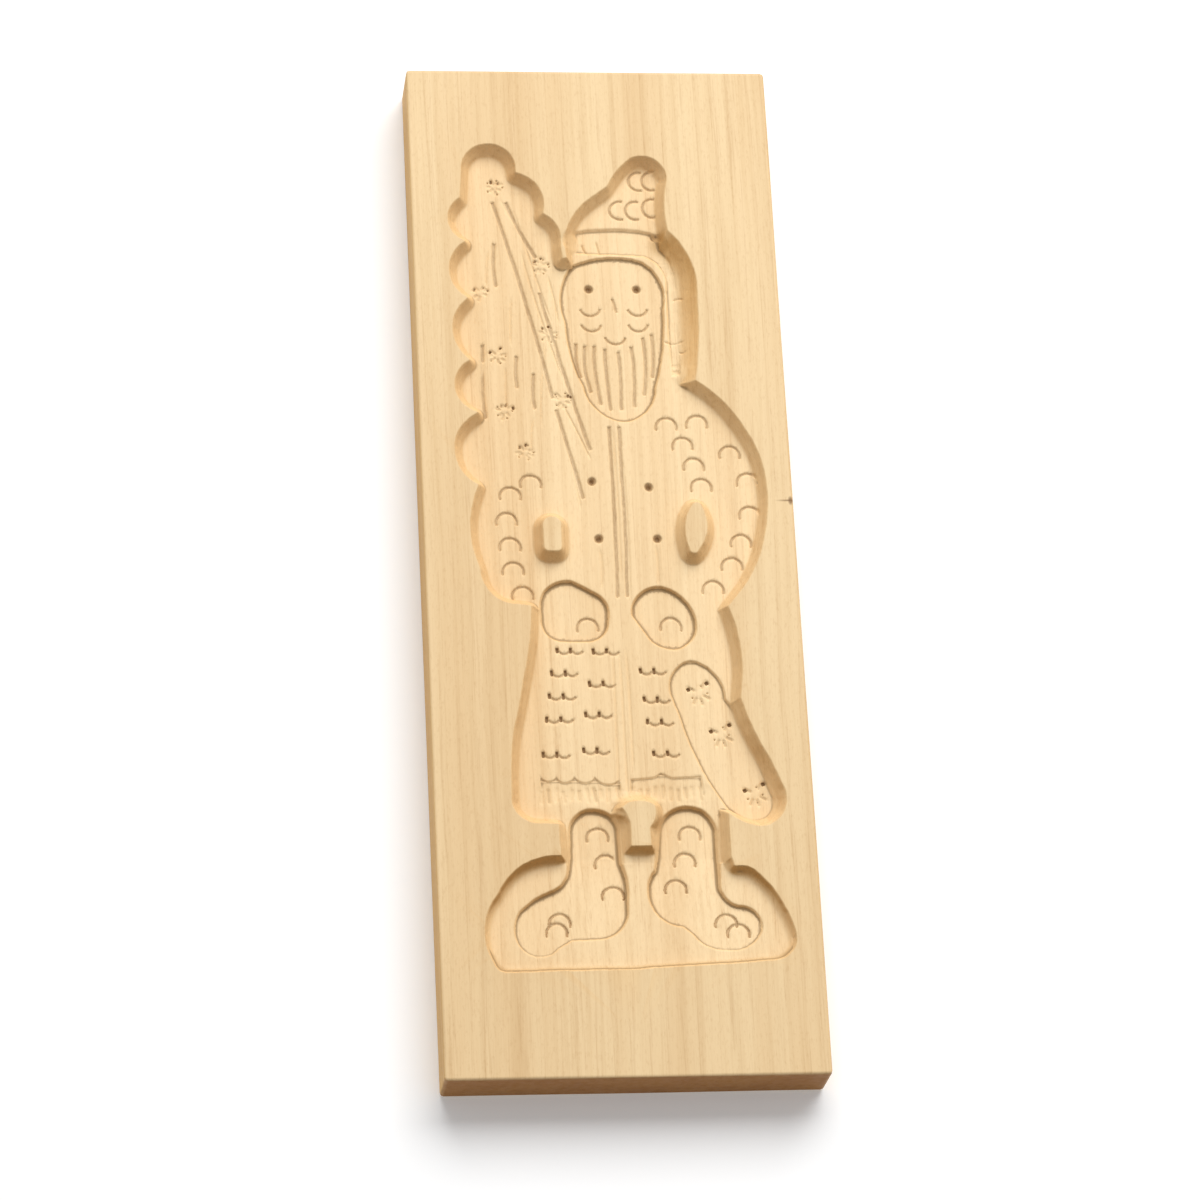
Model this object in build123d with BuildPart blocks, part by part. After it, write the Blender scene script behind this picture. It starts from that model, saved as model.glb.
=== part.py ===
"""Carved wooden cookie mould: one maple board with a figure cut into its front face.

The board lies on its back. X runs across it, Y runs up the figure towards its cap,
and Z is its thickness. The origin is the middle of the back face. All lengths are in
millimetres, and every outline is given in X and Y from the middle of the board.
"""

import os

from build123d import *

# ---- Driving dimensions ----------------------------------------------------------

board_width = 115
board_length = 332
board_thickness = 18
edge_ease = 0.5  # the board's sharp corners, rubbed down

figure_depth = 4.2  # floor of the tree, cap, coat and arms below the face of the board
hood_depth = 5.0
beard_depth = 5.3
hand_depth = 5.6
sack_depth = 5.0
hem_depth = 4.65
boot_depth = 5.9  # at the ankle
toe_depth = 3.8
mound_depth_top = 3.8
mound_depth_bottom = 2.4

figure_draft = 28  # degrees that a pocket's wall leans back from upright
hood_draft = 50
boot_draft = 33
mound_draft = 18
shallow_draft = 35
corner_radius = 0.3  # on the sharp corners of wood between two scallops

# heights on the figure between which two floors slope
mound_top_height = -95
mound_bottom_height = -131
ankle_height = -97
toe_height = -119

gouge_half_width = 3.1  # the round gouge that makes the crescent cuts
cut_radius = 0.48
crescent_leg = 1.1
small_cut_radius = 0.45
pouch_sag = 2.4  # of the folds below the eyes
cup_half_width = 1.7  # of the small cups in the cloth
cup_height = 1
nick_radius = 0.7
nick_tip_radius = 0.1
nick_length = 1.3
drill_radius = 2.8
drill_tip_radius = 0.4
drill_length = 3
groove_radius = 0.8
groove_lift = 0.35  # a groove's middle line above the floor it is cut into


# ---- Outlines --------------------------------------------------------------------
# An outline is its starting point, then one step for each stretch: a single point
# ends a straight stretch, and a pair is the middle and the end of an arc.

tree_outline = [
    (-39.9, 22.8),
    # left boughs, from the bottom
    ((-46.5, 31.5), (-38.7, 47.3)),
    ((-46, 56.5), (-40.8, 65)),
    ((-45.8, 74.5), (-40.5, 86.3)),
    ((-46.3, 95), (-40.5, 105.8)),
    ((-46, 114), (-42, 121)),
    (-41.2, 131),
    # tip and right boughs
    ((-33, 140), (-24.2, 129.8)),
    ((-17.8, 126), (-16, 115.5)),
    ((-12.2, 112), (-10.9, 104)),
    (-10.6, 99.8),
    # inside the figure
    (3, 103),
    (3, 12),
    (-34, 12),
]

cap_outline = [
    (-8.9, 99.8),
    ((-8.2, 111), (-2.6, 119.4)),
    (5, 125.4),
    ((8.2, 130.7), (12.5, 135)),
    ((20.5, 134.8), (23.8, 127)),
    ((22.8, 119), (23.4, 110.1)),
    # inside the figure
    (23.4, 50),
    (-12, 50),
    (-12, 92),
]

hood_outline = [
    (14, 110.5),
    (23.4, 110.1),
    ((29.6, 101), (31.8, 86)),
    ((31.4, 73), (29.5, 58)),
    (26, 50),
    (12, 50),
]

arms_outline = [
    (-25.3, -16.9),
    (-31, -16.3),
    ((-37, -13.3), (-40.4, -5)),
    ((-43, 8), (-39.9, 22.8)),
    (-33, 44),
    (-8, 62),
    (22, 62),
    (29.5, 58),
    ((41, 46.5), (48.2, 31)),
    ((48.9, 10.5), (42, -9)),
    (35.2, -17.5),
    (28, -28),
    (-18, -28),
]

coat_outline = [
    (-20.1, -87.1),
    (-27, -87),
    ((-31.6, -84.8), (-33.8, -78)),
    ((-33.6, -69), (-32.2, -57)),
    ((-29, -42.5), (-26.2, -28)),
    (-25.3, -16.9),
    (-16, -6),
    (26, -6),
    (35.2, -17.5),
    ((38.1, -32), (37, -47.5)),
    (31.3, -62),
    (31.3, -101),
    (-20.1, -101),
]

sack_edge_outline = [
    (26, -84),
    (26, -38),
    (37, -47.5),
    ((40, -56.5), (44.6, -66.5)),
    (48, -75),
    ((47.2, -85.2), (41, -88.7)),
    ((35.4, -87), (31.3, -84.3)),
]

band_outline = [  # the hollow roll of the hood, on the floor of the figure
    (-6.3, 103.4),
    (-6.1, 111.2),
    ((7, 112.4), (18.8, 111.2)),
    ((23.8, 103.6), (26.6, 90)),
    (26, 61),
    (22.4, 61),
    (21.8, 90),
    ((20.6, 98.6), (15.6, 102.2)),
    (-6.3, 103.4),
]

beard_outline = [  # face and beard, one long egg shape
    (-7.2, 99.4),
    ((4, 102.4), (15.4, 100.8)),
    ((20.2, 95.4), (21.2, 84)),
    ((20.6, 71), (17.4, 57)),
    ((13.6, 48.4), (6.8, 45.3)),
    ((0.2, 48), (-5.8, 58)),
    ((-9, 68), (-10.4, 80)),
    ((-11.5, 88), (-7.2, 99.4)),
]

left_hand_outline = [
    (-22.4, -14.6),
    ((-18.6, -8.6), (-12.4, -7.3)),
    (-4.4, -11.7),
    ((-1.5, -15.4), (-1.4, -20.6)),
    ((-3.3, -25.8), (-9, -27.7)),
    (-15.4, -27.6),
    ((-20.8, -25.2), (-22.4, -20.2)),
    (-22.4, -14.6),
]

right_hand_outline = [
    (5.5, -19),
    ((8.1, -12.2), (14.9, -9.4)),
    ((21.6, -12.9), (25.7, -20.6)),
    ((24.2, -27), (18.4, -30.4)),
    ((14.4, -29.6), (10.6, -26.6)),
    (5.5, -19),
]

sack_outline = [
    (16.2, -45),
    ((17.6, -37.2), (23.2, -33.5)),
    ((28.6, -36.2), (33.4, -46.4)),
    (36.2, -51),
    (41.6, -64.6),
    (45.6, -76.4),
    ((44.9, -83.4), (40, -86)),
    ((35.6, -85), (31, -81)),
    ((24.6, -69.5), (19.2, -54)),
    (16.2, -45),
]

mound_outline = [
    (-20.5, -97.2),
    ((-31, -99.9), (-39.5, -109.5)),
    ((-43.7, -119), (-41.6, -130)),
    ((-39.9, -132.5), (-37, -133.2)),
    (0, -132.9),
    (42, -130.8),
    ((47.8, -128), (49.2, -121.5)),
    ((45.6, -112.3), (38, -102.3)),
    ((35.2, -101.2), (32, -101.3)),
    (31.3, -98.5),
    (7.3, -94.7),
    (1.3, -94.7),
    (-20.5, -97.2),
]

left_boot_outline = [
    (-18.3, -88),
    ((-9.4, -80), (-0.3, -88)),
    (-0.3, -98.5),
    ((0.9, -105.4), (0.5, -112)),
    ((-1.8, -119.2), (-8.5, -123.1)),
    (-17.5, -123.5),
    (-21.6, -125.9),
    ((-28.8, -128.1), (-34.1, -124)),
    ((-35.2, -119), (-33.5, -113.5)),
    ((-28.6, -109.2), (-22.6, -106.2)),
    ((-19.9, -103.6), (-18.8, -99.4)),
    (-18.3, -88),
]

right_boot_outline = [
    (8.9, -88),
    ((19.4, -79.5), (29.4, -88)),
    (29.3, -99),
    (28.7, -106.2),
    ((29.8, -109.6), (33, -112)),
    ((39.1, -115.2), (40.3, -119.6)),
    ((37.3, -124.4), (28.5, -126.9)),
    ((23.4, -125.9), (19, -122.2)),
    (15.9, -119.7),
    ((9.4, -117.2), (5.9, -112.2)),
    ((5.2, -106.4), (7.4, -100.6)),
    (8.9, -88),
]

leg_gap_outline = [  # wood left standing between the boots
    (1.3, -94.7),
    (1.3, -88.5),
    ((0.5, -84.9), (-1.2, -82.6)),
    ((3.9, -80), (9.2, -81.8)),
    ((9.2, -85.4), (7.3, -88.5)),
    (7.3, -94.7),
]

left_elbow_outline = [  # wood left standing inside the bend of the arm
    (-20.7, 2.4),
    (-20.7, 8.6),
    ((-17.9, 12.4), (-15, 8.6)),
    (-15, 2.4),
    ((-15.4, 1.3), (-16.4, 0.8)),
    (-19.2, 0.8),
    ((-20.3, 1.3), (-20.7, 2.4)),
]

right_elbow_outline = [
    (24.3, 1.8),
    ((25.7, -0.2), (27.4, 1.2)),
    ((30.2, 8.4), (29, 15.4)),
    ((27.3, 17.1), (25.5, 15.6)),
    ((23.3, 8.6), (24.3, 1.8)),
]

hem_outline = [  # the stepped hem of the coat, left half
    (-25, -77.6),
    (-25, -69.6),
    ((-22.4, -72.2), (-19.8, -70.6)),
    ((-17.3, -72.8), (-14.6, -69.6)),
    ((-11.4, -72.9), (-8.2, -70.6)),
    ((-5.4, -73.2), (-0.6, -71.4)),
    (0, -77.8),
]

right_hem_outline = [
    (2.6, -77.8),
    (2.6, -71.8),
    (9.8, -71.4),
    (12, -70),
    (15.4, -71.6),
    (24.4, -71),
    (25, -77.8),
]

# ---- Places of the small cuts, in X and Y on the floor they are cut into -----------

arm_crescents = [
    (-23.5, 27.6), (-30, 23.5), (-31.5, 15), (-30.8, 6.7), (-30, -1.3), (-27.5, -9.5),
    (19.9, 47), (29.5, 47.6), (24.6, 40.3), (27.7, 33.3), (29.7, 26.3), (39.2, 37.3),
    (44.2, 28.1), (44.2, 16.8), (41, 7.5), (37.7, -0.3), (31.4, -8),
]  # fmt: skip
hand_crescents = [(-7.9, -19.6), (17.8, -19.3)]
boot_crescents = [
    (-8.2, -87.2), (-6.2, -95.6), (-4.4, -105.9), (-21, -114.4), (-22, -117.4),
    (19.8, -87), (17.8, -95.3), (14.7, -103.8), (29.1, -115.2), (32.6, -118.4),
]  # fmt: skip
cap_crescents = [(12.3, 129), (16.6, 129), (5.8, 118.6), (10.8, 118.6), (16.2, 119.4)]
cloth_marks = [
    (-17.8, -30), (-6.7, -30.2), (-19.8, -37.3), (-8.4, -40.8), (-20.8, -44.8),
    (-10, -50.8), (-21.8, -52.2), (-23.5, -63.5), (-11.2, -62.3),
    (7.4, -36.8), (8.1, -46), (8.9, -53.3), (10.1, -63.5),
]  # fmt: skip
cloth_mark_pitch = 4.2
cup_drop = 1.6  # of a cup's lowest point below the nick at its left
coat_buttons = [(-4.4, 25.5), (13.3, 23.5), (-3.2, 6.4), (15.1, 6.2)]
needle_stars = [
    (-30.5, 126.6), (-17, 99), (-15.5, 75.4), (-32, 68), (-12, 52.9), (-30.5, 49.4),
    (-24.5, 35.3),
]  # fmt: skip
sack_stars = [(25.2, -44.3), (31.2, -57.9), (40.3, -77)]
star_reach = 2.5
nicks_in_star = 5

face_middle = 5.6  # the face is the same on both sides of this line
eye_offset = 7.5
eye_height = 91.6
pouch_drops = (9.2, 14.6)  # how far the two folds are below each eye

# Grooves are the start, middle and end of a shallow arc.
tree_grooves = [
    ((-27.2, 121.4), (-22.6, 110.4), (-18.4, 102)),
    ((-31.4, 121.4), (-22.8, 88.6), (-15.2, 53.8)),
    ((-17.9, 89.9), (-12, 65), (-4.4, 36)),
    ((-14.4, 49.9), (-10.8, 35), (-7.2, 19.8)),
    ((-31.4, 107), (-31.9, 99), (-31.4, 92)),
    ((-36.5, 72), (-36.9, 59), (-36.4, 46.8)),
    ((-26.1, 68), (-26.5, 62), (-26.1, 57)),
    ((-20.9, 62), (-21.3, 56), (-20.9, 50)),
]
coat_grooves = [
    ((1.9, 44), (2.2, 15), (1.9, -13)),
    ((5, 44), (5.3, 15), (5, -13)),
    ((1.2, -28), (1.4, -52), (1.2, -76)),
]
beard_grooves = [
    ((-7, 73), (-7.2, 68), (-6, 61)),
    ((-4.3, 72), (-4.4, 64), (-3, 56)),
    ((-1.2, 72), (-1.2, 62), (0, 52)),
    ((2.2, 71), (2.3, 60), (3, 50)),
    ((6.2, 70), (6.6, 60), (6.4, 50)),
    ((10.4, 72), (10.9, 61), (10.4, 51)),
    ((14.2, 75), (14.6, 64), (13.8, 55)),
    ((17, 76), (17.3, 69), (16.6, 61)),
]
smile_groove = [((2.4, 75), (5.6, 72.6), (8.8, 75))]
nose_groove = [((5.3, 88.4), (5.9, 86), (6.3, 83.6))]


# ---- Shaping helpers -------------------------------------------------------------


def inward_corners(area):
    """The corners where the edge of a flat area bends inwards."""
    corners = ShapeList()
    step = 0.02  # a short way along each edge from its end
    for corner in area.vertices():
        sides = [edge for edge in area.edges() if corner in edge.vertices()]
        beside = [min(edge @ step, edge @ (1 - step), key=corner.distance_to) for edge in sides]
        if not area.face().is_inside((beside[0] + beside[1]) / 2):
            corners.append(corner)
    return corners


def sketch_outline(outline):
    """The flat area inside an outline, its inward corners slightly rounded."""
    with BuildSketch() as area:
        with BuildLine():
            start = outline[0]
            for step in outline[1:]:
                if isinstance(step[0], tuple):
                    middle, end = step
                    ThreePointArc(start, middle, end)
                else:
                    end = step
                    Line(start, end)
                start = end
            if start != outline[0]:
                Line(start, outline[0])
        make_face()
        fillet(inward_corners(area), radius=corner_radius)
    return area.sketch


def hanging_block(outline, height, draft):
    """A block that hangs below Z = 0, its walls leaning in by draft towards its foot."""
    area = sketch_outline(outline)
    with BuildPart() as block:
        extrude(area, amount=height, taper=draft)
        if block.part.center().Z > 0:  # an outline that runs anticlockwise stands up
            mirror(about=Plane.XY, mode=Mode.REPLACE)
    return block.part


def carve(outline, depth, draft=figure_draft, top=0):
    """Cut an outline from the depth top down to depth."""
    with Locations((0, 0, board_thickness - top)):
        add(hanging_block(outline, depth - top, draft), mode=Mode.SUBTRACT)


def cut_at(cutter, places, depth, rotation=(0, 0, 0)):
    """Cut the same small mark at each place on the floor that is depth deep."""
    with Locations(*[(x, y, board_thickness - depth) for x, y in places]):
        add(cutter, rotation=rotation, mode=Mode.SUBTRACT)


def swept_cut(line_start, line_middle, line_end, radius):
    """A round groove's cutter along one arc."""
    with BuildPart() as cutter:
        with BuildLine() as path:
            ThreePointArc(line_start, line_middle, line_end)
        with BuildSketch(Plane(origin=path.line @ 0, z_dir=path.line % 0)):
            Circle(radius)
        sweep(path=path.line)
    return cutter.part


def cut_grooves(grooves, depth, radius, lift=0):
    """Cut grooves into a floor; lift raises a groove's middle line above the floor."""
    for start, middle, end in grooves:
        cut_at(swept_cut(start, middle, end, radius), [(0, 0)], depth - lift)


def sloping_floor(y_low, depth_low, y_high, depth_high):
    """The plane of a floor that is depth_low deep at y_low and depth_high deep at y_high."""
    slope = (depth_low - depth_high) / (y_low - y_high)
    origin = (0, y_low, board_thickness - depth_low)
    return Plane(origin=origin, x_dir=(1, 0, 0), z_dir=(0, slope, 1))


# ---- Cutters that end on a sloping floor -------------------------------------------

mound_floor = sloping_floor(
    mound_top_height, mound_depth_top, mound_bottom_height, mound_depth_bottom
)
boot_floor = sloping_floor(ankle_height, boot_depth, toe_height, toe_depth)


def boot_depth_at(height):
    """How deep a boot's floor is at a height on the figure."""
    share = max(0, (ankle_height - height) / (ankle_height - toe_height))
    return boot_depth + share * (toe_depth - boot_depth)


def cut_to_floor(outline, depth, draft, floor, top=0):
    """The cutter of a pocket that stops at a sloping floor."""
    with BuildPart() as cutter:
        with Locations((0, 0, board_thickness - top)):
            add(hanging_block(outline, depth - top, draft))
        split(bisect_by=floor, keep=Keep.TOP)
    return cutter.part


# ---- Small cutters, each with its middle on the floor it marks ---------------------

crescent_foot = -gouge_half_width - crescent_leg
crescent_cut = swept_cut(
    (-gouge_half_width, crescent_foot), (0, 0), (gouge_half_width, crescent_foot), cut_radius
)
pouch_cut = swept_cut(
    (-gouge_half_width, pouch_sag), (0, 0), (gouge_half_width, pouch_sag), small_cut_radius
)
cup_cut = swept_cut(
    (-cup_half_width, cup_height), (0, 0), (cup_half_width, cup_height), small_cut_radius
)

with BuildPart() as nick_cut:
    Cone(bottom_radius=nick_tip_radius, top_radius=nick_radius, height=nick_length)

with BuildPart() as drill_cut:
    Cone(bottom_radius=drill_tip_radius, top_radius=drill_radius, height=drill_length)

# ---- The mould board ---------------------------------------------------------------

os.makedirs("parts", exist_ok=True)

with BuildPart() as mould_board:
    Box(
        board_width,
        board_length,
        board_thickness,
        align=(Align.CENTER, Align.CENTER, Align.MIN),
    )
    chamfer(mould_board.edges(), length=edge_ease)

    # the figure, and the wood left standing inside it
    for outline in (tree_outline, cap_outline, arms_outline, coat_outline, sack_edge_outline):
        carve(outline, figure_depth)
    carve(hood_outline, figure_depth, hood_draft)
    for island in (leg_gap_outline, left_elbow_outline, right_elbow_outline):
        with Locations((0, 0, board_thickness)):
            add(hanging_block(island, figure_depth, -figure_draft))

    # the mound and the boots
    add(cut_to_floor(mound_outline, mound_depth_top, mound_draft, mound_floor), mode=Mode.SUBTRACT)
    for outline in (left_boot_outline, right_boot_outline):
        boot_cutter = cut_to_floor(outline, boot_depth, boot_draft, boot_floor, mound_depth_bottom)
        add(boot_cutter, mode=Mode.SUBTRACT)

    # deeper parts of the figure
    carve(band_outline, hood_depth, hood_draft, top=figure_depth)
    carve(beard_outline, beard_depth, top=figure_depth)
    carve(left_hand_outline, hand_depth, top=figure_depth)
    carve(right_hand_outline, hand_depth, top=figure_depth)
    carve(sack_outline, sack_depth, shallow_draft, top=figure_depth)
    for outline in (hem_outline, right_hem_outline):
        carve(outline, hem_depth, shallow_draft, top=figure_depth)

    # crescents from one round gouge
    cut_at(crescent_cut, arm_crescents, figure_depth)
    cut_at(crescent_cut, hand_crescents, hand_depth)
    cut_at(crescent_cut, cap_crescents, figure_depth, rotation=(0, 0, 90))
    for x, y in boot_crescents:
        cut_at(crescent_cut, [(x, y)], boot_depth_at(y))

    # cloth of the coat: pairs of a nick and a cup
    for offset in (0, cloth_mark_pitch):
        nicks = [(x + offset, y) for x, y in cloth_marks]
        cups = [(x + cloth_mark_pitch / 2, y - cup_drop) for x, y in nicks]
        cut_at(cup_cut, cups, figure_depth)
        cut_at(nick_cut.part, nicks, figure_depth)

    # stars of five nicks on the tree and the sack
    for stars, depth in ((needle_stars, figure_depth), (sack_stars, sack_depth)):
        for x, y in stars:
            with Locations((x, y, board_thickness - depth)):
                with PolarLocations(star_reach, nicks_in_star):
                    add(nick_cut.part, mode=Mode.SUBTRACT)

    # buttons, and the face, which is the same on both sides of its middle line
    eyes = [(face_middle - eye_offset, eye_height), (face_middle + eye_offset, eye_height)]
    cut_at(drill_cut.part, coat_buttons, figure_depth)
    cut_at(drill_cut.part, eyes, beard_depth)
    for drop in pouch_drops:
        cut_at(pouch_cut, [(x, y - drop) for x, y in eyes], beard_depth)

    # long shallow grooves
    cut_grooves(tree_grooves, figure_depth, groove_radius, lift=groove_lift)
    cut_grooves(coat_grooves, figure_depth, groove_radius, lift=groove_lift)
    cut_grooves(beard_grooves, beard_depth, groove_radius, lift=groove_lift)
    cut_grooves(smile_groove + nose_groove, beard_depth, small_cut_radius)

mould_board.part.label = "mould_board"
export_step(mould_board.part, "parts/mould_board.step")
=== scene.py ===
import math

import bpy
import numpy as np
from mathutils import Matrix, Vector


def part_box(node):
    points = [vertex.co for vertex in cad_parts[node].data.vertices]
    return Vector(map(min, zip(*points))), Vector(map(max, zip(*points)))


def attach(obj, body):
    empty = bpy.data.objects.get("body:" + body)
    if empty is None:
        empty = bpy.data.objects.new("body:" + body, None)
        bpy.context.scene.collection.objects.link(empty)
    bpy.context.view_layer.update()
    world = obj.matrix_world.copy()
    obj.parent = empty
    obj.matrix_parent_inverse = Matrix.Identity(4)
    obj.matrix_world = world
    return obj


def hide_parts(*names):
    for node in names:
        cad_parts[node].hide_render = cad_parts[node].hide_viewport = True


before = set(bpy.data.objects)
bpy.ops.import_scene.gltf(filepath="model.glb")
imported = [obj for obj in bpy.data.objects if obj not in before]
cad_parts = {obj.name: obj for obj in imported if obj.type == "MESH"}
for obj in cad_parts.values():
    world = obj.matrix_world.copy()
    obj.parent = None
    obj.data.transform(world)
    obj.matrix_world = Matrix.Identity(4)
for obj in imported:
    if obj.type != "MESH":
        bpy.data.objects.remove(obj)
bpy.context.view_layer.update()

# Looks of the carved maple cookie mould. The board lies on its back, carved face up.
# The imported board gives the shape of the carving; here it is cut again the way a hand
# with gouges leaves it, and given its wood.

MM = 0.001

board_low, board_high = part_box("mould_board")
WIDTH = board_high.x - board_low.x
LENGTH = board_high.y - board_low.y

# the shaped mesh
GRID_STEP = 0.25 * MM
EDGE_ROUNDING = 1.0 * MM  # the band along the board's corners that the rounding takes up
EDGE_STEPS = 5
TRIANGLES = 190_000

# what the hand and the gouges leave
WANDER = 0.22 * MM  # how far a cut strays from its drawn line
GOUGE_RIPPLE = 0.14 * MM  # shallow troughs along the floors
AT_FACE = 0.3 * MM  # wood that lies within this of the face was left standing
FLOOR_DEPTHS = (0.6 * MM, 2.0 * MM)  # between which the ripple of the gouges comes in
FINE_DEPTHS = (2.4 * MM, 3.6 * MM)  # between which the fine marks come in
SMALL_CUT = 5  # net steps: a cut up to twice this wide is a small one
EASED = 1  # smoothing rounds that take the sharpness off every edge
COVE = 28  # rounds that make the hollow at the foot of a tall wall
HOOD_COVE = 110  # the same on the side of the hood, which a larger gouge made
WORN = 60  # rounds that wear away the end of an edge
HEM_WORN = 40  # rounds that let the foot of the hem run out
NEAR_WALL = 100  # rounds that say how far from the face a wall is tall
AROUND = 60  # rounds that say how deep a place lies among what is around it
IN_CORNER = 3  # rounds that find the corner at the foot of a step

# camera and light
CAMERA_LENS = 137.5
SENSOR = 36
CAMERA_PLACE = Vector((-175, -523, 1292)) * MM  # from the middle of the carved face
CAMERA_TARGET = Vector((-4.3, -15.5, 0)) * MM
CAMERA_ROLL = 3.03
SKY_STRENGTH = 0.38
WINDOW_PLACE = (0.4, 1.5, 1.8)  # metres
WINDOW_SIZE = (2.4, 1.8)
WINDOW_WATTS = 66
FLOOR_REACH = 6.0
FLOOR_GAP = 0.2 * MM


# Places of the fine marks, in millimetres from the middle of the board. A line is three
# points on a shallow curve.
TREE_STARS = [(-30.5, 126.6), (-17, 99), (-15.5, 75.4), (-32, 68), (-12, 52.9), (-30.5, 49.4)]
TREE_STARS += [(-24.5, 35.3), (-36.4, 89.8)]
STAR_PETALS = 7
SACK_STARS = [(25.2, -44.3), (31.4, -57.9), (40.6, -77)]
SACK_STABS = [  # reach across, reach up and depth of the hole at the tip
    (-3.4, 1.9, 1.0),
    (2.3, 3.9, 1.0),
    (-1.8, -3.6, 0),
    (0.9, -3.9, 0),
    (3.4, -1.9, 0),
]
CLOTH_NICKS = [(-17.8, -30), (-6.7, -30.2), (-19.8, -37.3), (-8.4, -40.8), (-20.8, -44.8)]
CLOTH_NICKS += [(-10, -50.8), (-21.8, -52.2), (-23.5, -63.5), (-11.2, -62.3)]
CLOTH_NICKS += [(7.4, -36.8), (8.1, -46), (8.9, -53.3), (10.1, -63.5)]
NICK_PAIR = 4.2  # between the two nicks of a pair
HEM_ENDS = [(-24.6, -1, -79), (3, 24.4, -78.6)]  # left, right and height of its lower edge
HEM_PITCH = 2.3
TREE_LINES = [
    ((-28.6, 122), (-23.5, 111.5), (-17.6, 101)),
    ((-24.6, 118), (-20, 100), (-14.6, 80)),
    ((-23, 104), (-18, 82), (-11, 58)),
    ((-15, 96), (-13.4, 88), (-12.2, 79)),
    ((-14.2, 73), (-11.4, 62), (-8.6, 51)),
    ((-12, 51), (-8, 42), (-4.4, 33)),
    ((-14.5, 52), (-10.6, 34), (-8.2, 16)),
    ((-16.5, 73), (-18.5, 58), (-19, 44)),
    ((-29.6, 64), (-29.8, 57), (-30, 51)),
    ((-33.4, 104), (-34.2, 98), (-34.6, 92)),
    ((-26.8, 88), (-27.4, 80), (-27.6, 72)),
    ((-21.5, 47), (-22.4, 41), (-22.6, 34)),
]
CLOTH_LINES = [
    ((3.2, 42), (3.4, 15), (3.1, -8)),
    ((5.8, 30), (6, 5), (5.6, -16)),
    ((1.4, -30), (1.6, -52), (1.5, -78)),
    ((3.4, -30), (3.8, -50), (3.6, -70)),
    ((-0.6, -29), (-0.8, -55), (-1, -77)),
    ((14.6, 3.6), (14.8, -3), (14.6, -9)),
    ((-3, 3), (-2.6, -3), (-3, -10)),
]
HOOD_NOTCH = ((18.6, 109.4), (21.8, 108.4), (24.6, 105))
HOOD_LINES = [
    ((20.8, 73), (23.6, 72.4), (27, 73)),
    ((24.6, 87.2), (25.9, 87.8), (27.4, 87.2)),
    ((25.4, 69.4), (26.4, 68.8), (27.6, 69.6)),
    ((-3.6, 107), (-3, 105), (-1.8, 103.2)),
    ((1, 108), (1.4, 106), (2, 103.4)),
]
LINE_CUTS = [  # lines, width and depth
    (TREE_LINES, 0.8, 0.32),
    (CLOTH_LINES, 0.9, 0.3),
    ([HOOD_NOTCH], 2.6, 0.8),
    (HOOD_LINES, 0.8, 0.4),
]

# Stretches of the net that are finished in their own way, in millimetres: where each
# begins and is whole, then where it is last whole and ends.
HOOD_COLUMNS = ((20, 25), (32, 34))
HOOD_ROWS = ((55, 61), (106, 112))
HEM_COLUMNS = ((-27, -25), (25, 27))
HEM_ROWS = ((-80.5, -79), (-76.4, -75.4))
TRENCH_COLUMNS = ((-4, -3), (10, 11.5))  # between the mound and the wood left above it
TRENCH_ROWS = ((-103, -100.5), (-93, -91))

# Places with how far each reaches.
WORN_SPOTS = [
    (-7, 106.5, 4),
    (24.5, 62, 3.5),
    (-25.5, -77.5, 4),
    (-0.5, -77.5, 3),
    (2.5, -77.5, 3),
    (25, -77.5, 4),
]
HOOD_CORNER = (22.5, 107, 6)


# ---- Node trees written as Python expressions --------------------------------------


class Value:
    """A socket that can be used in sums: an expression on values adds its Math nodes."""

    def __init__(self, nodes, socket):
        self.nodes = nodes
        self.socket = socket

    def __add__(self, other):
        return self.nodes.math("ADD", self, other)

    def __sub__(self, other):
        return self.nodes.math("SUBTRACT", self, other)

    def __rsub__(self, other):
        return self.nodes.math("SUBTRACT", other, self)

    def __mul__(self, other):
        return self.nodes.math("MULTIPLY", self, other)

    def __truediv__(self, other):
        return self.nodes.math("DIVIDE", self, other)

    __radd__ = __add__
    __rmul__ = __mul__


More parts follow.
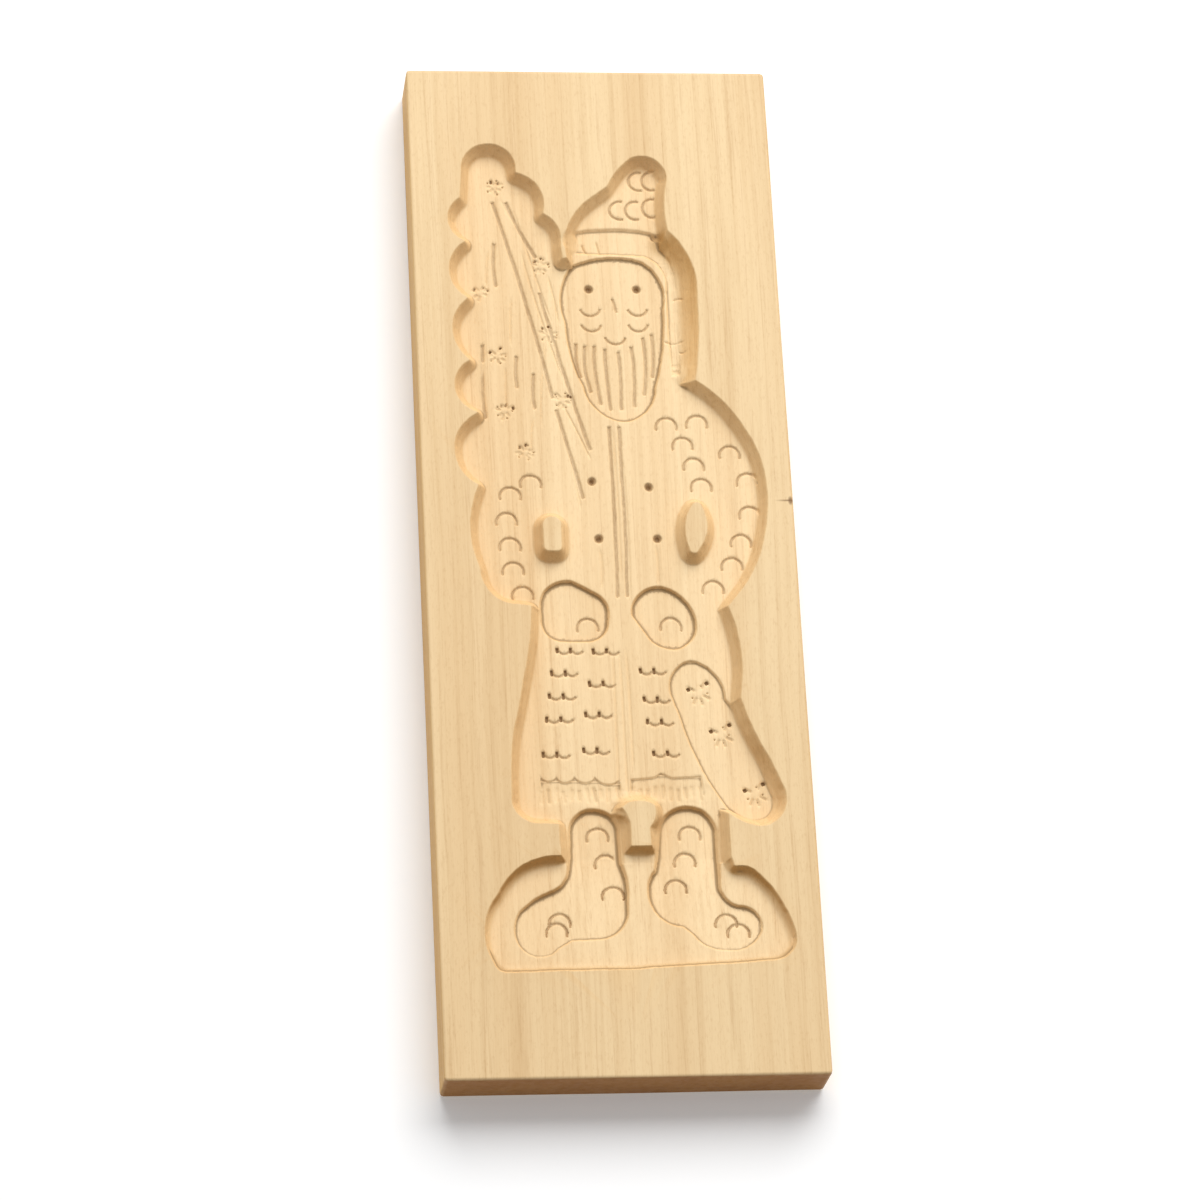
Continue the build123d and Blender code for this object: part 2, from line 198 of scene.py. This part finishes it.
class Nodes:
    """Adds nodes to one tree."""

    def __init__(self, tree):
        self.tree = tree

    def add(self, kind, settings=(), sockets=(), output=0):
        """A node of a kind: its settings first, then the values or links of its sockets."""
        node = self.tree.nodes.new(kind)
        for name, value in dict(settings).items():
            setattr(node, name, value)
        for name, value in dict(sockets).items():
            if isinstance(value, Value):
                self.tree.links.new(value.socket, node.inputs[name])
            else:
                node.inputs[name].default_value = value
        return Value(self, node.outputs[output])

    def finish(self, surface):
        end = self.tree.nodes.new("ShaderNodeOutputMaterial")
        self.tree.links.new(surface.socket, end.inputs["Surface"])

    def math(self, operation, first, second=0.0):
        return self.add("ShaderNodeMath", {"operation": operation}, {0: first, 1: second})

    def vector(self, operation, first, second=(0, 0, 0)):
        return self.add("ShaderNodeVectorMath", {"operation": operation}, {0: first, 1: second})

    def split(self, vector):
        """The X, Y and Z of a vector."""
        node = self.add("ShaderNodeSeparateXYZ", sockets={0: vector}).socket.node
        return [Value(self, socket) for socket in node.outputs]

    def join(self, x, y, z):
        return self.add("ShaderNodeCombineXYZ", sockets={0: x, 1: y, 2: z})

    def noise(self, place, per_mm, detail=2.0, roughness=0.5, seed=0.0, colour=False):
        """Noise from 0 to 1 at a place in metres; per_mm is how often it varies along X, Y, Z."""
        scaled = self.vector("MULTIPLY", place, tuple(each / MM for each in per_mm))
        moved = self.vector("ADD", scaled, (seed, seed * 0.7, seed * 1.3))
        sockets = {"Vector": moved, "Scale": 1.0, "Detail": detail, "Roughness": roughness}
        return self.add("ShaderNodeTexNoise", sockets=sockets, output=1 if colour else 0)

    def ramp(self, value, low, high, to_low=0.0, to_high=1.0):
        """A value taken smoothly from low..high to to_low..to_high."""
        sockets = {0: value, 1: low, 2: high, 3: to_low, 4: to_high}
        return self.add("ShaderNodeMapRange", {"interpolation_type": "SMOOTHSTEP"}, sockets)

    def mix(self, factor, first, second, blend="MIX"):
        """Two colours mixed by a factor."""
        settings = {"data_type": "RGBA", "blend_type": blend}
        return self.add("ShaderNodeMix", settings, {0: factor, 6: first, 7: second}, output=2)


# ---- The carving -------------------------------------------------------------------


def carving_tree():
    """Geometry nodes that drop a fine net onto the board, with every cut a little astray."""
    tree = bpy.data.node_groups.new("carve by hand", "GeometryNodeTree")
    face = tree.interface
    face.new_socket("Geometry", in_out="OUTPUT", socket_type="NodeSocketGeometry")
    for name, kind in (
        ("Board", "NodeSocketObject"),
        ("Width", "NodeSocketFloat"),
        ("Length", "NodeSocketFloat"),
        ("Face Height", "NodeSocketFloat"),
        ("Columns", "NodeSocketInt"),
        ("Rows", "NodeSocketInt"),
        ("Wander", "NodeSocketFloat"),
        ("Gouge Ripple", "NodeSocketFloat"),
        ("Wood", "NodeSocketMaterial"),
    ):
        face.new_socket(name, in_out="INPUT", socket_type=kind)
    nodes = Nodes(tree)
    entry = tree.nodes.new("NodeGroupInput")
    given = {socket.name: Value(nodes, socket) for socket in entry.outputs if socket.name}

    net = nodes.add(
        "GeometryNodeMeshGrid",
        sockets={
            "Size X": given["Width"],
            "Size Y": given["Length"],
            "Vertices X": given["Columns"],
            "Vertices Y": given["Rows"],
        },
    )
    place = nodes.add("GeometryNodeInputPosition")
    x, y, _ = nodes.split(place)

    # every cut strays a little from its drawn line
    slow = nodes.noise(place, (0.11, 0.08, 0.1), detail=1.0, seed=3.1, colour=True)
    quick = nodes.noise(place, (0.7, 0.45, 0.5), detail=1.0, seed=8.4, colour=True)
    slow_x, slow_y, _ = nodes.split(slow)
    quick_x, quick_y, _ = nodes.split(quick)
    stray_x = ((slow_x - 0.5) * 3.2 + (quick_x - 0.5) * 1.2) * given["Wander"]
    stray_y = ((slow_y - 0.5) * 3.2 + (quick_y - 0.5) * 1.2) * given["Wander"]
    source = nodes.join(x + stray_x, y + stray_y, given["Face Height"] + 0.01)

    board = nodes.add("GeometryNodeObjectInfo", sockets={"Object": given["Board"]}, output=4)
    drop = nodes.add(
        "GeometryNodeRaycast",
        sockets={
            "Target Geometry": board,
            "Source Position": source,
            "Ray Direction": (0.0, 0.0, -1.0),
            "Ray Length": 0.05,
        },
        output=1,
    )
    _, _, cut_height = nodes.split(drop)
    height = nodes.math("MINIMUM", cut_height, given["Face Height"])

    # shallow troughs of the gouge run along the grain
    trough = nodes.noise(place, (0.36, 0.035, 0.1), detail=1.5, seed=5.2) - 0.5
    chatter = nodes.noise(place, (0.5, 0.5, 0.5), detail=2.0, seed=1.7) - 0.5
    ripple = (trough * 1.3 + chatter * 0.4) * given["Gouge Ripple"]
    shaped = nodes.add(
        "GeometryNodeStoreNamedAttribute",
        {"data_type": "FLOAT", "domain": "POINT"},
        {"Geometry": net, "Name": "ripple", "Value": ripple},
    )
    shaped = nodes.add(
        "GeometryNodeSetPosition",
        sockets={"Geometry": shaped, "Position": nodes.join(x, y, height)},
    )
    shaped = nodes.add("GeometryNodeRealizeInstances", sockets={"Geometry": shaped})
    shaped = nodes.add(
        "GeometryNodeSetMaterial", sockets={"Geometry": shaped, "Material": given["Wood"]}
    )
    leave = tree.nodes.new("NodeGroupOutput")
    tree.links.new(shaped.socket, leave.inputs[0])
    return tree


def new_piece(name, mesh):
    piece = bpy.data.objects.new(name, mesh)
    bpy.context.scene.collection.objects.link(piece)
    return piece


def plain_mesh(piece):
    """The piece with its modifiers worked into one plain mesh."""
    graph = bpy.context.evaluated_depsgraph_get()
    mesh = bpy.data.meshes.new_from_object(piece.evaluated_get(graph))
    piece.modifiers.clear()
    return mesh


def carved_face(wood):
    """The carved face alone, as an open net in rows of even steps."""
    columns = round((WIDTH - 2 * EDGE_ROUNDING) / GRID_STEP) + 1
    rows = round((LENGTH - 2 * EDGE_ROUNDING) / GRID_STEP) + 1
    piece = new_piece("carved_face", bpy.data.meshes.new("carved_face"))
    carve = piece.modifiers.new("carve", "NODES")
    carve.node_group = carving_tree()
    values = {
        "Board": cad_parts["mould_board"],
        "Width": WIDTH - 2 * EDGE_ROUNDING,
        "Length": LENGTH - 2 * EDGE_ROUNDING,
        "Face Height": board_high.z,
        "Columns": columns,
        "Rows": rows,
        "Wander": WANDER,
        "Gouge Ripple": GOUGE_RIPPLE,
        "Wood": wood,
    }
    for socket in carve.node_group.interface.items_tree:
        if socket.in_out == "INPUT":
            carve[socket.identifier] = values[socket.name]
    mesh = plain_mesh(piece)
    bpy.data.objects.remove(piece)
    return mesh, columns, rows


def smooth(field, rounds):
    """A height field blurred over the net."""
    for _ in range(rounds):
        wide = np.pad(field, 1, mode="edge")
        along = wide[:, :-2] + 2 * wide[:, 1:-1] + wide[:, 2:]
        field = (along[:-2] + 2 * along[1:-1] + along[2:]) / 16
    return field


def widest(field, reach):
    """The highest value within reach of each point, along both axes."""
    for axis in (0, 1):
        padding = [(0, 0), (0, 0)]
        padding[axis] = (reach, reach)
        wide = np.pad(field, padding, mode="edge")
        count = field.shape[axis]
        shifts = range(2 * reach + 1)
        shifted = [np.take(wide, range(shift, shift + count), axis) for shift in shifts]
        field = np.maximum.reduce(shifted)
    return field


def without_small_cuts(height):
    """The heights with every narrow cut filled level."""
    return -widest(-widest(height, SMALL_CUT), SMALL_CUT)


def step_up(values, low, high):
    """0 below low, 1 above high, and a smooth rise between them."""
    share = np.clip((values - low) / (high - low), 0, 1)
    return share * share * (3 - 2 * share)


def stretch(places, start, end):
    """1 along a stretch, rising smoothly to it over start and falling over end."""
    start_low, start_high = start
    end_low, end_high = end
    rise = step_up(places, start_low * MM, start_high * MM)
    return rise * (1 - step_up(places, end_low * MM, end_high * MM))


def patch(x, y, columns, rows):
    """1 inside a rectangle of the net with soft edges, 0 outside."""
    return stretch(y, *rows)[:, None] * stretch(x, *columns)[None, :]


def spot(x, y, place, core):
    """1 in the core of a round place of the net and 0 beyond its reach."""
    across, up, reach = place
    off = np.hypot(*np.meshgrid(x / MM - across, y / MM - up))
    return 1 - step_up(off, core * reach, reach)


def arc(start, middle, end, steps=8):
    """Points along a shallow curve through three points."""
    start, middle, end = (np.array(point, float) for point in (start, middle, end))
    pull = 2 * middle - (start + end) / 2
    shares = np.linspace(0, 1, steps + 1)[:, None]
    return (1 - shares) ** 2 * start + 2 * shares * (1 - shares) * pull + shares**2 * end


class Marks:
    """The scratches and stabs of a narrow tool, as a depth at every point of the net."""

    def __init__(self, x, y):
        self.x = x
        self.y = y
        self.depth = np.zeros((len(y), len(x)))
        self.random = np.random.default_rng(7)

    def score(self, line, width, depth, blunt=0.15):
        """Cuts a line of points, deepest in its middle and fading at its blunt ends."""
        points = np.array(line, float) * MM
        lengths = np.linalg.norm(np.diff(points, axis=0), axis=1)
        reached = np.concatenate([[0], np.cumsum(lengths)]) / lengths.sum()
        half = width / 2 * MM
        left, low = points.min(axis=0) - half
        right, high = points.max(axis=0) + half
        columns = np.flatnonzero((self.x > left) & (self.x < right))
        rows = np.flatnonzero((self.y > low) & (self.y < high))
        window = np.ix_(rows, columns)
        place = np.stack(np.meshgrid(self.x[columns], self.y[rows]), -1)
        for number, length in enumerate(lengths):
            ahead = (points[number + 1] - points[number]) / length
            from_start = place - points[number]
            along = np.clip(from_start @ ahead, 0, length)
            off = np.linalg.norm(from_start - along[..., None] * ahead, axis=-1)
            share = reached[number] + along / lengths.sum()
            fade = np.clip(np.minimum(share, 1 - share) / blunt + 0.25, 0, 1)
            mark = depth * MM * fade * np.clip(1 - (off / half) ** 2, 0, 1)
            self.depth[window] = np.maximum(self.depth[window], mark)

    def score_lines(self):
        for lines, width, depth in LINE_CUTS:
            for line in lines:
                self.score(arc(*line), width, depth)

    def stab_sack(self):
        """Short cuts out from the middle of each star, some with a hole at the tip."""
        for across, up in SACK_STARS:
            for reach_x, reach_y, hole in SACK_STABS:
                near = (across + 0.35 * reach_x, up + 0.35 * reach_y)
                tip = (across + reach_x, up + reach_y)
                self.score([near, tip], width=1.3, depth=0.38)
                if hole:
                    foot = (tip[0] + 0.5, tip[1] - 1.1)
                    self.score([tip, foot], width=1.6, depth=hole)

    def cut_tree_stars(self):
        """Ragged petals round each star, the upper ones torn at their tips."""
        uniform = self.random.uniform
        for across, up in TREE_STARS:
            for petal in range(STAR_PETALS):
                turn = math.radians(petal * 51 + uniform(-22, 22) + 20)
                near, far = uniform(0.5, 1.2), uniform(2.2, 3.4)
                root = (across + near * math.cos(turn), up + near * math.sin(turn))
                tip = (across + far * math.cos(turn), up + far * math.sin(turn))
                self.score([root, tip], width=1.25, depth=uniform(0.24, 0.4))
                if math.sin(turn) > 0.45:
                    foot = (tip[0] + uniform(-0.5, 0.3), tip[1] - uniform(0.7, 1.3))
                    self.score([tip, foot], width=1.15, depth=uniform(0.5, 0.9))

    def nick_cloth(self):
        """Two short, deep nicks above each pair of cups in the coat."""
        uniform = self.random.uniform
        for left, up in CLOTH_NICKS:
            for across in (left, left + NICK_PAIR):
                top = (across, up + 0.7)
                foot = (across + uniform(-0.2, 0.3), top[1] - uniform(1.7, 2.2))
                self.score([top, foot], width=1.3, depth=0.95)

    def tear_hem(self):
        """Uneven upright strokes over the hem."""
        uniform = self.random.uniform
        for left, right, height in HEM_ENDS:
            for across in np.arange(left, right, HEM_PITCH):
                top = (across + uniform(-0.4, 0.4), height + uniform(3.6, 5))
                foot = (across + uniform(-0.5, 0.5), height + uniform(-0.9, 0.6))
                self.score([top, foot], width=1.5, depth=uniform(0.22, 0.4))


def fine_cuts(x, y):
    marks = Marks(x, y)
    marks.score_lines()
    marks.stab_sack()
    marks.cut_tree_stars()
    marks.nick_cloth()
    marks.tear_hem()
    return marks.depth


def face_points(wood):
    """The points of the carved face in rows and columns, with the ripple of each."""
    face, columns, rows = carved_face(wood)
    points = np.empty(len(face.vertices) * 3, np.float32)
    face.vertices.foreach_get("co", points)
    ripple = np.empty(len(face.vertices), np.float32)
    face.attributes["ripple"].data.foreach_get("value", ripple)
    bpy.data.meshes.remove(face)
    points = points.reshape(-1, 3).astype(float)
    order = np.lexsort((points[:, 0].round(6), points[:, 1].round(6)))
    return points[order].reshape(rows, columns, 3), ripple[order].reshape(rows, columns)


def fair_walls(large, x, y, near_wall, hood):
    """The large cuts as gouges leave them: coved at the foot, with some edges worn away."""
    cove = np.maximum(large, smooth(large, COVE)) - large
    wide_cove = np.maximum(large, smooth(large, HOOD_COVE)) - large
    faired = large + cove * near_wall * (1 - hood) + wide_cove * hood
    faired = smooth(faired, EASED)
    worn = np.maximum.reduce([spot(x, y, place, core=0.45) for place in WORN_SPOTS])
    faired = faired * (1 - worn) + smooth(faired, WORN) * worn
    run_out = patch(x, y, HEM_COLUMNS, HEM_ROWS)
    return faired * (1 - run_out) + smooth(faired, HEM_WORN) * run_out


def shaded(rise_up, wall, inside, x, y, hood):
    """Where painted shade darkens the walls: those that face the foot, and the top of the hood."""
    footward = 0.6 * step_up(-y, -40 * MM, 20 * MM) + 0.4 * step_up(-y, 40 * MM, 110 * MM)
    walls = step_up(rise_up, 0.3, 1.3) * footward[:, None]
    hood_wall = wall * hood * step_up(y, 62 * MM, 112 * MM)[:, None] * 0.8
    corner = spot(x, y, HOOD_CORNER, core=0.3) * inside * 0.9
    return np.maximum.reduce([walls, hood_wall, corner])


def carved_net(wood):
    """The points of the carved face, finished by hand, how each place was cut, and where shade is
    painted.
    """
    points, ripple = face_points(wood)
    x = points[0, :, 0]
    y = points[:, 0, 1]
    height = points[:, :, 2]
    face_height = board_high.z

    # the walls are faired first, as if the small cuts weren't there yet
    large = without_small_cuts(height)
    at_face = (large > face_height - AT_FACE).astype(float)
    near_wall = np.clip(smooth(at_face, NEAR_WALL) * 6, 0, 1)
    hood = patch(x, y, HOOD_COLUMNS, HOOD_ROWS)
    faired = fair_walls(large, x, y, near_wall, hood)

    # then come the floors and the small cuts, but the trench behind the mound stays filled
    small = (large - height) * (1 - patch(x, y, TRENCH_COLUMNS, TRENCH_ROWS))
    depth = face_height - faired
    inside = step_up(depth, *FLOOR_DEPTHS)
    fine = fine_cuts(x, y) * step_up(depth, *FINE_DEPTHS)
    finished = np.minimum(faired + ripple * inside, face_height) - np.maximum(small, fine)

    # painted shade in the corners, as dark lines, stays out of the corners below tall walls,
    # except along the mound's foot
    rise_up, rise_across = np.gradient(smooth(faired, 2), GRID_STEP)
    wall = step_up(np.hypot(rise_up, rise_across), 0.2, 0.9)
    above_foot = step_up(y, -128 * MM, -124 * MM)[:, None]
    crisp = 1 - np.minimum(1.6 * near_wall, 1) * above_foot
    looks = {
        "depth": depth / MM,
        "hollow": (smooth(finished, AROUND) - finished) / MM,
        "crease": smooth((smooth(faired, IN_CORNER) - faired) * crisp, 1) / MM,
        "cut": small * (1 - wall) * (1 - hood) / MM,
        "nick": fine * (1 - wall) / MM,
        # painted shade on the walls, twice as strong on the hood's wall
        "wall": wall * (1 + hood),
        "shade": shaded(rise_up, wall, inside, x, y, hood),
    }
    points[:, :, 2] = finished
    return points, looks


def rings_below(rim):
    """Rings of points that carry the net's rim down the sides and round to the back.

    With each ring comes how far it is on the long sides, and on the sawn ends.
    """
    half = np.array([WIDTH / 2 - EDGE_ROUNDING, LENGTH / 2 - EDGE_ROUNDING])
    outward = np.where(np.abs(rim[:, :2]) > half - GRID_STEP / 2, np.sign(rim[:, :2]), 0.0)
    outward /= np.linalg.norm(outward, axis=1, keepdims=True)
    wear = 0.75 + 0.25 * np.sin(rim[:, 0] * 71 + 1.3) * np.sin(rim[:, 1] * 53 + 0.4)
    angles = np.linspace(0, math.pi / 2, EDGE_STEPS + 1)[1:]
    rings = []
    shares = []
    for low_side in (False, True):
        for angle in angles[::-1] if low_side else angles:
            ring = rim.copy()
            ring[:, :2] += outward * EDGE_ROUNDING * math.sin(angle)
            fall = EDGE_ROUNDING * wear * (1 - math.cos(angle))
            ring[:, 2] = board_low.z + fall if low_side else board_high.z - fall
            rings.append(ring)
            shares.append(np.abs(outward) * math.sin(angle) ** 4)
    last = rim.copy()
    last[:, 2] = board_low.z
    rings.append(last)
    shares.append(np.zeros((len(rim), 2)))
    return rings, shares


def build_mesh(points, quads, back):
    """A mesh of quads, closed by one many-sided face."""
    mesh = bpy.data.meshes.new("mould_board_carved")
    mesh.vertices.add(len(points))
    mesh.vertices.foreach_set("co", points.astype(np.float32).ravel())
    loops = np.concatenate([quads.ravel(), back])
    mesh.loops.add(len(loops))
    mesh.loops.foreach_set("vertex_index", loops.astype(np.int32))
    starts = np.arange(len(quads) + 1) * 4
    mesh.polygons.add(len(starts))
    mesh.polygons.foreach_set("loop_start", starts.astype(np.int32))
    mesh.update(calc_edges=True)
    mesh.validate()
    return mesh


def closed_board(wood):
    """The board as one closed mesh: the carved face, rounded corners, sides and back."""
    points, looks = carved_net(wood)
    rows, columns, _ = points.shape
    points = points.reshape(-1, 3)
    index = np.arange(rows * columns).reshape(rows, columns)
    corners = [index[:-1, :-1], index[:-1, 1:], index[1:, 1:], index[1:, :-1]]
    quads = [np.stack(corners, -1).reshape(-1, 4)]

    # the border runs anticlockwise from above, and so does every ring below it
    border = np.concatenate([index[0, :-1], index[:-1, -1], index[-1, :0:-1], index[:0:-1, 0]])
    rings, shares = rings_below(points[border])
    before = border
    for number in range(len(rings)):
        after = len(points) + number * len(border) + np.arange(len(border))
        quads.append(np.stack([before, after, np.roll(after, -1), np.roll(before, -1)], -1))
        before = after
    mesh = build_mesh(np.concatenate([points, *rings]), np.concatenate(quads), before[::-1])

    shares = np.concatenate([np.zeros((len(points), 2)), *shares])
    every = {"long_side": shares[:, 0], "end_grain": shares[:, 1]}
    for name, values in looks.items():
        every[name] = np.concatenate([values.ravel(), np.zeros(len(shares) - len(points))])
    for name, values in every.items():
        layer = mesh.attributes.new(name, "FLOAT", "POINT")
        layer.data.foreach_set("value", values.astype(np.float32))
    mesh.materials.append(wood)
    mesh.polygons.foreach_set("use_smooth", np.ones(len(mesh.polygons), bool))
    return mesh


def thin_out(piece):
    """Spends the triangles where the surface bends."""
    triangles = sum(len(face.vertices) - 2 for face in piece.data.polygons)
    thin = piece.modifiers.new("thin", "DECIMATE")
    thin.ratio = TRIANGLES / triangles
    thin.use_collapse_triangulate = True
    piece.data = plain_mesh(piece)


def even_normals(piece):
    """Keeps the flat faces flat where they meet a rounded edge."""
    level = piece.modifiers.new("level", "WEIGHTED_NORMAL")
    level.mode = "FACE_AREA"
    level.weight = 60
    piece.data = plain_mesh(piece)


# ---- Wood --------------------------------------------------------------------------


# the dark brown of the knot and its crack, and of the painted shade in the small cuts and marks
KNOT_AND_SHADE_BROWN = (0.20, 0.095, 0.030, 1)


def new_material(name):
    material = bpy.data.materials.new(name)
    material.use_nodes = True
    material.node_tree.nodes.clear()
    return material, Nodes(material.node_tree)


def maple():
    """Pale, straight-grained maple, planed on the outside and cut with gouges inside."""
    material, nodes = new_material("maple")
    place = nodes.add("ShaderNodeTexCoord", output=3)

    # the grain runs up the board and drifts a little
    drift = nodes.noise(place, (0.010, 0.005, 0.02), detail=1.0, seed=2.0, colour=True)
    drift = nodes.vector("SUBTRACT", drift, (0.5, 0.5, 0.5))
    drift = nodes.vector("MULTIPLY", drift, (7 * MM, 0.0, 3 * MM))
    grain = nodes.vector("ADD", place, drift)

    bands = nodes.noise(grain, (0.06, 0.0025, 0.07), detail=2.0, seed=4.0)
    streaks = nodes.noise(grain, (0.42, 0.007, 0.4), detail=3.0, roughness=0.6, seed=7.0)
    fibres = nodes.noise(grain, (2.6, 0.06, 2.6), detail=2.0, roughness=0.6, seed=9.0)
    specks = nodes.noise(grain, (1.6, 0.5, 1.6), detail=2.0, roughness=0.65, seed=12.0)
    ring_spacing = 5.3 * MM
    grain_x, _, _ = nodes.split(grain)
    ring = nodes.math("SINE", grain_x * (2 * math.pi / ring_spacing) + streaks * 9.0)
    ring = nodes.ramp(ring, 0.86, 1.0) * nodes.ramp(fibres, 0.3, 0.6)

    light = (0.910, 0.680, 0.392, 1)
    warm = (0.835, 0.590, 0.318, 1)
    brown = (0.56, 0.33, 0.140, 1)
    colour = nodes.mix(nodes.ramp(bands, 0.32, 0.7), light, warm)
    tone = nodes.ramp(streaks, 0.42, 0.72, 0.0, 0.20) + nodes.ramp(fibres, 0.45, 0.75, 0.0, 0.14)
    tone = tone + ring * 0.18 + nodes.ramp(specks, 0.5, 0.72, 0.0, 0.17)
    colour = nodes.mix(tone, colour, brown)
    colour = carved_colours(nodes, colour, brown, specks)
    colour, knot = knot_at_the_edge(nodes, colour, place)

    relief = fibres * 0.05 + streaks * 0.04 + specks * 0.035 - ring * 0.01 - knot * 0.1
    bump = nodes.add(
        "ShaderNodeBump", sockets={"Strength": 0.7, "Distance": 1 * MM, "Height": relief}
    )
    surface = nodes.add(
        "ShaderNodeBsdfPrincipled",
        sockets={
            "Base Color": colour,
            "Roughness": nodes.ramp(streaks, 0.2, 0.8, 0.52, 0.68),
            "Specular IOR Level": 0.3,
            "Normal": bump,
        },
    )
    nodes.finish(surface)
    return material


def carved_colours(nodes, colour, brown, specks):
    """What planing, sawing and the gouges make of the wood's colour, with painted shade.

    The planed face has yellowed. Cut wood is paler on its floors. Its walls are painted warmer
    and darker, as shade and warm light bounced between them, partly as the darker cut fibres.
    Painted shade darkens the hollows, the corners at the foot of each step, the walls that face
    the foot, and the small cuts and marks, most where they are deepest. The long sides are
    painted warmer and darker as shade. The sawn ends show the darker end grain.
    """
    names = ("depth", "hollow", "crease", "cut", "nick", "wall", "shade", "long_side", "end_grain")
    depth, hollow, crease, cut, nick, wall, shade, long_side, end_grain = (
        nodes.add("ShaderNodeAttribute", {"attribute_name": name}, output=2) for name in names
    )

    def tinted(share, tint):
        return nodes.mix(share, colour, tint, blend="MULTIPLY")

    planed = nodes.ramp(depth, 0.6, 0.1)
    colour = tinted(planed, (0.93, 0.925, 0.905, 1))
    # painted shade: the walls warmer and darker, as light bounced between them, partly the darker
    # cut fibres
    colour = tinted(wall * 0.5, (0.95, 0.82, 0.64, 1))
    # painted shade: the walls that face the foot, the hood's wall and the corner at its top
    colour = tinted(shade, (0.65, 0.54, 0.36, 1))
    # painted shade: the hollows go towards brown the deeper they lie among what is around them
    colour = nodes.mix(nodes.ramp(hollow, 0.05, 0.9, 0.0, 0.2), colour, brown)
    # painted shade: dark lines in the corners at the foot of each step
    corner = nodes.ramp(crease, 0.010, 0.060, 0.0, 0.7)
    colour = nodes.mix(corner, colour, (0.30, 0.185, 0.082, 1))
    # painted shade: the small cuts darken with their depth, unevenly along the specks
    scooped = nodes.ramp(cut, 0.08, 0.5, 0.0, 0.5) + nodes.ramp(cut, 0.6, 1.3, 0.0, 0.35)
    colour = nodes.mix(scooped * nodes.ramp(specks, 0.25, 0.6, 0.6, 1.0), colour, KNOT_AND_SHADE_BROWN)
    # painted shade: the fine marks darken most where they are deepest
    torn = nodes.ramp(nick, 0.2, 0.7, 0.0, 0.85)
    colour = nodes.mix(torn, colour, KNOT_AND_SHADE_BROWN)
    # painted shade: the long sides darker and warmer than the same wood on the face
    colour = tinted(long_side, (0.87, 0.71, 0.43, 1))
    colour = tinted(end_grain, (0.41, 0.24, 0.08, 1))
    return colour


def knot_at_the_edge(nodes, colour, place):
    """A small knot at the right edge, with the crack that runs from it, and where it is."""
    x, y, _ = nodes.split(place)
    knot_x = (x - 56.7 * MM) / (1.0 * MM)
    knot_y = (y - 17.2 * MM) / (1.9 * MM)
    knot = nodes.ramp(nodes.math("SQRT", knot_x * knot_x + knot_y * knot_y), 1.0, 0.3)
    off_crack = nodes.math("ABSOLUTE", y - 17.3 * MM) / MM
    crack = nodes.ramp(off_crack, 0.45, 0.1) * nodes.ramp(x / MM, 51.0, 56.0)
    colour = nodes.mix(knot * 0.8, colour, KNOT_AND_SHADE_BROWN)
    colour = nodes.mix(crack * 0.7, colour, KNOT_AND_SHADE_BROWN)
    return colour, knot


def plain_material(name, colour, roughness, glow):
    """One flat colour that also gives off a little light of its own."""
    material, nodes = new_material(name)
    surface = nodes.add(
        "ShaderNodeBsdfPrincipled",
        sockets={
            "Base Color": colour,
            "Roughness": roughness,
            "Specular IOR Level": 0.2,
            "Emission Color": colour,
            "Emission Strength": glow,
        },
    )
    nodes.finish(surface)
    return material


# ---- Studio ------------------------------------------------------------------------


def make_floor():
    mesh = bpy.data.meshes.new("floor")
    reach = FLOOR_REACH
    corners = [(-reach, -reach, 0), (reach, -reach, 0), (reach, reach, 0), (-reach, reach, 0)]
    mesh.from_pydata(corners, [], [(0, 1, 2, 3)])
    white = (0.95, 0.95, 0.95, 1)
    mesh.materials.append(plain_material("white paper", white, roughness=0.9, glow=0.12))
    floor = new_piece("floor", mesh)
    floor.location.z = board_low.z - FLOOR_GAP


def look_from(place, target, roll=0.0):
    """Turns something that looks along its own -Z so that it faces a target, Y up."""
    ahead = (target - place).normalized()
    side = ahead.cross(Vector((0, 1, 0))).normalized()
    up = side.cross(ahead)
    turn = Matrix((side, up, -ahead)).transposed().to_4x4()
    return Matrix.Translation(place) @ turn @ Matrix.Rotation(math.radians(roll), 4, "Z")


def make_camera():
    middle = Vector((0, 0, board_high.z))
    lens = bpy.data.cameras.new("camera")
    lens.lens = CAMERA_LENS
    lens.sensor_width = SENSOR
    camera = bpy.data.objects.new("camera", lens)
    bpy.context.scene.collection.objects.link(camera)
    camera.matrix_world = look_from(middle + CAMERA_PLACE, middle + CAMERA_TARGET, -CAMERA_ROLL)
    bpy.context.scene.camera = camera


def make_light(name, place, size, watts):
    panel = bpy.data.lights.new(name, "AREA")
    panel.shape = "RECTANGLE"
    panel.size, panel.size_y = size
    panel.energy = watts
    light = bpy.data.objects.new(name, panel)
    bpy.context.scene.collection.objects.link(light)
    light.matrix_world = look_from(Vector(place), Vector((0, 0, 0)))


def make_world(strength):
    world = bpy.data.worlds.new("studio")
    world.use_nodes = True
    background = world.node_tree.nodes["Background"]
    background.inputs["Color"].default_value = (1.0, 1.0, 1.0, 1)
    background.inputs["Strength"].default_value = strength
    bpy.context.scene.world = world


make_camera()
make_floor()
make_world(SKY_STRENGTH)
make_light("window", WINDOW_PLACE, WINDOW_SIZE, WINDOW_WATTS)
bpy.context.scene.view_settings.view_transform = "Standard"

wood = maple()
board = new_piece("mould_board_carved", closed_board(wood))
thin_out(board)
even_normals(board)
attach(board, "root")
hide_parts("mould_board")
